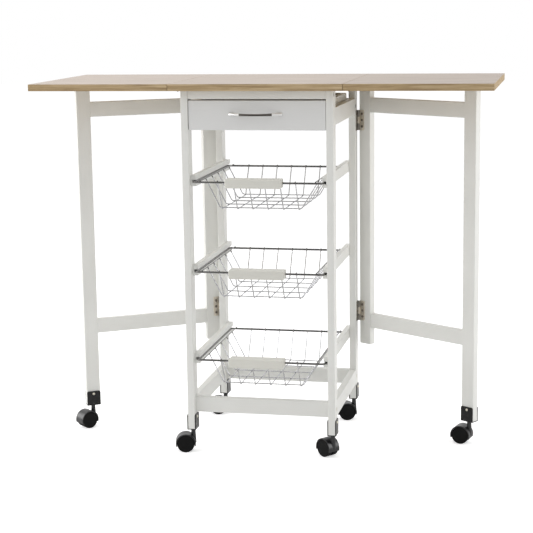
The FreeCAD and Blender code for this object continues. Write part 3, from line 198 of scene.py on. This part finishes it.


def plated_metal(name, colour, roughness, along=None, where=None):
    """Bright plating with faint smears that break up its reflections.

    where is (axis, low, high, colour): a dark colour painted between two places
    along an axis: painted shade on screws, painted dark reflections on rims and the bow.
    """
    shader = Shader(name)
    stretch = ALONG[along] if along else EVENLY
    smear = shader.noise(shader.stretched(stretch), scale=60.0, detail=3.0)

    def tones(bright):
        dull = tuple(SMEAR_COLOUR * part for part in bright)
        return shader.ramp(smear, (0.3, dull), (0.7, bright))

    tone = tones(colour)
    if where:
        # The band's colour is painted shade or a painted dark reflection, not another
        # plating.
        axis, low, high, painted_dark = where
        split = shader.add("ShaderNodeSeparateXYZ")
        shader.link(shader.place, split.inputs[0])
        inside = shader.add("ShaderNodeMath", operation="MULTIPLY")
        for socket, place, way in ((0, low, 1), (1, high, -1)):
            step = shader.add("ShaderNodeMapRange")
            step.inputs["From Min"].default_value = place - way * PAINTED_BAND_BLEND
            step.inputs["From Max"].default_value = place + way * PAINTED_BAND_BLEND
            shader.link(split.outputs[axis], step.inputs["Value"])
            shader.link(step.outputs["Result"], inside.inputs[socket])
        tone = shader.mix(inside.outputs[0], tone, tones(painted_dark))
    shader.to("Base Color", tone)
    shader.to("Metallic", 1.0)
    rough = shader.ramp(smear, (0.3, roughness * SMEAR_ROUGHNESS), (0.7, roughness))
    shader.to("Roughness", rough)
    return shader.material


CLOUD_COLOUR = 1.5           # how much paler plastic is in a cloud
CLOUD_ROUGHNESS = 0.1        # and how much is added to its roughness


def moulded_plastic(name, colour, roughness, specular):
    """Black moulded plastic with a fine spark-eroded texture."""
    shader = Shader(name)
    texture = shader.noise(shader.place, scale=2600.0, detail=2.0)
    cloud = shader.noise(shader.place, scale=45.0, detail=2.0)
    lifted = tuple(CLOUD_COLOUR * part for part in colour)
    rougher = roughness + CLOUD_ROUGHNESS
    shader.to("Base Color", shader.ramp(cloud, (0.3, colour), (0.75, lifted)))
    shader.to("Roughness", shader.ramp(cloud, (0.3, roughness), (0.7, rougher)))
    shader.to("Specular IOR Level", specular)
    shader.bump(texture, strength=0.18, distance=0.0002)
    return shader.material


# Paint is given as its colour and the shade in its grain and blotches.
WHITE = (0.81, 0.81, 0.78), (0.78, 0.778, 0.745)
# The drawer front's white is greyer than the frame's, and made darker as painted shade.
DRAWER_WHITE_PAINTED_SHADE = (0.755, 0.755, 0.745), (0.725, 0.725, 0.715)
IVORY = (0.72, 0.71, 0.655), (0.68, 0.67, 0.615)

# Printed oak is given as dark, mid and pale.
# The top's colours are paler than the edge band's: partly the real edge band, partly painted
# light and sheen on the top.
OAK_TOP = (0.39, 0.33, 0.28), (0.50, 0.43, 0.375), (0.60, 0.53, 0.475)
OAK_EDGE = (0.26, 0.17, 0.085), (0.43, 0.31, 0.165), (0.60, 0.46, 0.28)
# Each board: where its piece of the print lies, and how much paler or darker its top is made,
# as painted light and shade.
OAK_BOARDS = {
    "worktop_centre": ((0, 0, 0), 1.02),
    "leaf_left": ((3.1, 1.7, 0.4), 1.04),
    "leaf_right": ((7.3, 4.2, 1.9), 0.96),
}

MESH_WIRE = (0.66, 0.66, 0.68)
# The rims are the same plated wire; their darker colour is a painted dark reflection.
RIM_PAINTED_REFLECTION = (0.20, 0.195, 0.19)
RIM_DEPTH = 0.0062           # from a rim's top to where the thin wires start
FAR_UP = 1.0                 # over everything

# The bow is one bright plating; its darker middle is a painted dark reflection.
BOW_BRIGHT = (0.90, 0.90, 0.89)
BOW_PAINTED_REFLECTION = (0.14, 0.13, 0.12)
BOW_LEFT_BRIGHT = 0.027      # length of the bow's bright left end
BOW_RIGHT_BRIGHT = 0.020     # and of its right end

DULL_BUTT = (0.36, 0.34, 0.31)
BRIGHT_PLATE = (0.92, 0.86, 0.76)
ZINC = (0.78, 0.74, 0.62)
# Higher screws and bolts are coloured dark: painted shade for their shaded recesses.
SCREW_PAINTED_SHADE = (0.20, 0.18, 0.15)
SCREW_PAINTED_SHADE_FROM = 0.15        # the height from which screws and bolts get painted shade
POWDER_BLACK = (0.006, 0.006, 0.006)
HOOD_BLACK = (0.008, 0.008, 0.009)
WHEEL_BLACK = (0.005, 0.005, 0.005)


def with_painted_light(colours, factor):
    """The same print on another board, made paler or darker by painted light and shade."""
    return tuple(tuple(factor * part for part in colour) for colour in colours)


def make_finishes():
    """The finishes of single nodes by name, and of kinds by a word in the name."""
    single = {}
    # Each board's top is made paler or darker as painted light and shade.
    for name, (shift, tone) in OAK_BOARDS.items():
        single[name] = oak_laminate(f"oak_{name}", shift, with_painted_light(OAK_TOP, tone), OAK_EDGE)
    # The drawer front gets the darker white: painted shade.
    single["drawer_front"] = painted_wood("drawer_front_paint_with_painted_shade", "x", *DRAWER_WHITE_PAINTED_SHADE)
    inside = painted_wood("drawer_board_paint", "y", *WHITE)
    for name in ("drawer_sides", "drawer_back", "drawer_bottom"):
        single[name] = inside
    for name in BASKETS:
        # The band round each rim gets the painted dark reflection.
        rim = ("Z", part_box(name)[1].z - RIM_DEPTH, FAR_UP, RIM_PAINTED_REFLECTION)
        single[name] = plated_metal(f"{name}_wire", MESH_WIRE, roughness=0.16, where=rim)
    bow_low, bow_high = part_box("drawer_handle")
    # The bow's middle, between its bright ends, gets the painted dark reflection.
    middle = ("X", bow_low.x + BOW_LEFT_BRIGHT, bow_high.x - BOW_RIGHT_BRIGHT, BOW_PAINTED_REFLECTION)
    single["drawer_handle"] = plated_metal("polished_bow_painted_reflection", BOW_BRIGHT, roughness=0.30,
                                           along="x", where=middle)
    plate = plated_metal("bright_hinge", BRIGHT_PLATE, roughness=0.50, along="z")
    for name in ("gate_left_hinges", "gate_right_hinges"):
        single[name] = plate

    # Screws and bolts higher up get painted shade.
    higher = ("Z", SCREW_PAINTED_SHADE_FROM, FAR_UP, SCREW_PAINTED_SHADE)
    screw = plated_metal("screw_plating_painted_shade", ZINC, roughness=0.26, where=higher)
    butt = plated_metal("dull_hinge", DULL_BUTT, roughness=0.30, along="z")
    powder = moulded_plastic("black_powder_coat", POWDER_BLACK, roughness=0.26, specular=0.35)
    hood = moulded_plastic("black_plastic", HOOD_BLACK, roughness=0.27, specular=0.6)
    wheel = moulded_plastic("wheel_plastic", WHEEL_BLACK, roughness=0.42, specular=0.12)
    kinds = {
        "basket_grip": painted_wood("grip_paint", "x", *IVORY),
        "hinges": butt,
        "screws": screw,
        "bolts": screw,
        "bracket": powder,
        "_fork": hood,
        "_wheels": wheel,
    }
    return single, kinds


def grain_axis(name):
    """The way that a board's grain runs."""
    if "post" in name:
        return "z"
    low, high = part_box(name)
    extent = high - low
    return "y" if extent.y > extent.x else "x"


def finish_nodes():
    """Every node of the frame gets the finish of what it is made of."""
    single, kinds = make_finishes()
    paint = {
        axis: painted_wood(f"white_paint_along_{axis}", axis, *WHITE)
        for axis in "xyz"
    }
    for name, thing in NODES.items():
        fitting = [finish for word, finish in kinds.items() if word in name]
        if name in single:
            material = single[name]
        elif fitting:
            material = fitting[0]
        else:
            material = paint[grain_axis(name)]
        thing.data.materials.clear()
        thing.data.materials.append(material)


# ----------------------------------------------------------- edges and shading
METALWORK = ("caster", "hinges", "bracket", "screws", "bolts")
EASED_EDGE = 0.0007            # the sanded or faced edge of a board
EASED_STEPS = 2
WELD_REACH = 0.00001
FLAT_ANGLE = math.radians(1)
BEVEL_ANGLE = math.radians(35)
WIRE_ANGLE = math.radians(50)  # over the 45 degrees between a wire's sides
BOW_ANGLE = math.radians(30)   # under the 45 degrees of the bow's chamfers


def clear_shading(thing):
    """Drops the imported shading, so that the modifiers' result sets it."""
    mesh = thing.data
    for name in ("custom_normal", "sharp_edge", "sharp_face"):
        if name in mesh.attributes:
            mesh.attributes.remove(mesh.attributes[name])
    mesh.polygons.foreach_set("use_smooth", [True] * len(mesh.polygons))
    weld = thing.modifiers.new("weld", "WELD")
    weld.merge_threshold = WELD_REACH


def ease_edges(thing):
    """A board's edges are sanded round before it is painted or faced."""
    clear_shading(thing)
    merge = thing.modifiers.new("merge", "DECIMATE")
    merge.decimate_type = "DISSOLVE"
    merge.angle_limit = FLAT_ANGLE
    bevel = thing.modifiers.new("ease", "BEVEL")
    bevel.width = EASED_EDGE
    bevel.segments = EASED_STEPS
    bevel.limit_method = "ANGLE"
    bevel.angle_limit = BEVEL_ANGLE
    bevel.harden_normals = True


def smooth_shape(thing, angle):
    """Rounds the shading over the small facets, and keeps real corners."""
    clear_shading(thing)
    split = thing.modifiers.new("corners", "EDGE_SPLIT")
    split.split_angle = angle


def shade_nodes():
    """Boards get eased edges, wires and the bow smooth shading.

    The other metalwork and the casters stay as the CAD made them.
    """
    for name, thing in NODES.items():
        if name in BASKETS:
            smooth_shape(thing, WIRE_ANGLE)
        elif name == "drawer_handle":
            smooth_shape(thing, BOW_ANGLE)
        elif not any(word in name for word in METALWORK):
            ease_edges(thing)


# -------------------------------------------------------------- floor and light
FLOOR_HALF = 14.0            # half the side of the square floor
FLOOR_GLOW = 0.5             # what the floor adds to what the camera sees of it
SEEN_WORLD = 1.0             # white where it is seen or mirrored
LIGHTING_WORLD = 0.61        # softer where it lights the object

# The unlit room behind the photographer: its floor's corners, then its wall's top.
ROOM_CORNERS = [(-3.4, -2.2, 0.02), (1.8, -2.2, 0.02), (2.6, -7, 0.02), (-4.4, -7, 0.02),
                (2.6, -6, 5.5), (-4.4, -6, 5.5)]
ROOM_FACES = [(0, 1, 2, 3), (3, 2, 4, 5)]

# Each lamp's name, place, aim, width, height and power.
LAMPS = (
    ("overhead", (-0.8, 0.3, 2.9), (-0.1, 0.0, 0.6), 3.2, 2.4, 26.5),
    ("left_window", (-2.7, -1.3, 1.9), (0.0, 0.0, 0.5), 1.6, 2.0, 22),
    ("left_side", (-2.8, 0.1, 1.0), (-0.2, 0.0, 0.5), 1.6, 1.6, 27),
    ("right_side", (2.8, 0.2, 1.0), (0.2, 0.0, 0.5), 1.6, 1.6, 24),
)


def flat_thing(name, corners, faces, shader):
    """A piece of the studio, made of flat faces."""
    mesh = bpy.data.meshes.new(name)
    mesh.from_pydata(corners, [], faces)
    mesh.materials.append(shader.material)
    thing = bpy.data.objects.new(name, mesh)
    bpy.context.scene.collection.objects.link(thing)
    return thing


def make_floor():
    """A pale floor that stays white to the camera but keeps soft shadows."""
    shader = Shader("pale_floor")
    tint = shader.noise(shader.place, scale=3.0, detail=2.0)
    shader.to("Base Color", shader.ramp(tint, (0.3, 0.90), (0.7, 0.92)))
    shader.to("Roughness", 0.9)
    shader.to("Specular IOR Level", 0.0)
    shader.to("Emission Color", (1.0, 1.0, 1.0))
    glow = shader.add("ShaderNodeMath", operation="MULTIPLY")
    glow.inputs[1].default_value = FLOOR_GLOW
    seen = shader.add("ShaderNodeLightPath").outputs["Is Camera Ray"]
    shader.link(seen, glow.inputs[0])
    shader.to("Emission Strength", glow.outputs[0])
    half = FLOOR_HALF
    corners = [(-half, -half, 0), (half, -half, 0), (half, half, 0), (-half, half, 0)]
    floor = flat_thing("floor", corners, [(0, 1, 2, 3)], shader)


def make_world():
    """White where it is seen or mirrored, softer where it lights the object."""
    world = bpy.data.worlds.new("studio")
    bpy.context.scene.world = world
    world.use_nodes = True
    tree = world.node_tree
    background = tree.nodes["Background"]
    background.inputs["Color"].default_value = (1.0, 1.0, 1.0, 1.0)
    path = tree.nodes.new("ShaderNodeLightPath")
    seen = path.outputs["Is Camera Ray"]
    for ray in ("Is Glossy Ray", "Is Transmission Ray"):
        either = tree.nodes.new("ShaderNodeMath")
        either.operation = "MAXIMUM"
        tree.links.new(seen, either.inputs[0])
        tree.links.new(path.outputs[ray], either.inputs[1])
        seen = either.outputs[0]
    strength = tree.nodes.new("ShaderNodeMapRange")
    strength.inputs["To Min"].default_value = LIGHTING_WORLD
    strength.inputs["To Max"].default_value = SEEN_WORLD
    tree.links.new(seen, strength.inputs["Value"])
    tree.links.new(strength.outputs["Result"], background.inputs["Strength"])


def add_lamp(name, place, aim, width, height, power):
    """A soft rectangular lamp that points at its aim."""
    data = bpy.data.lights.new(name, "AREA")
    data.shape = "RECTANGLE"
    data.size = width
    data.size_y = height
    data.energy = power
    lamp = bpy.data.objects.new(name, data)
    lamp.location = place
    way = Vector(aim) - Vector(place)
    lamp.rotation_euler = way.to_track_quat("-Z", "Y").to_euler()
    bpy.context.scene.collection.objects.link(lamp)


def add_dark_room():
    """The unlit room behind the photographer, which only gloss can see."""
    shader = Shader("dark_cloth")
    weave = shader.noise(shader.place, scale=4.0, detail=2.0)
    shader.to("Base Color", shader.ramp(weave, (0.3, 0.02), (0.7, 0.03)))
    shader.to("Roughness", 1.0)
    shader.to("Specular IOR Level", 0.0)
    card = flat_thing("dark_room", ROOM_CORNERS, ROOM_FACES, shader)
    card.visible_camera = False
    card.visible_diffuse = False
    card.visible_shadow = False


make_camera()
finish_nodes()
shade_nodes()
make_floor()
make_world()
add_dark_room()
for lamp in LAMPS:
    add_lamp(*lamp)
bpy.context.scene.view_settings.view_transform = "Standard"
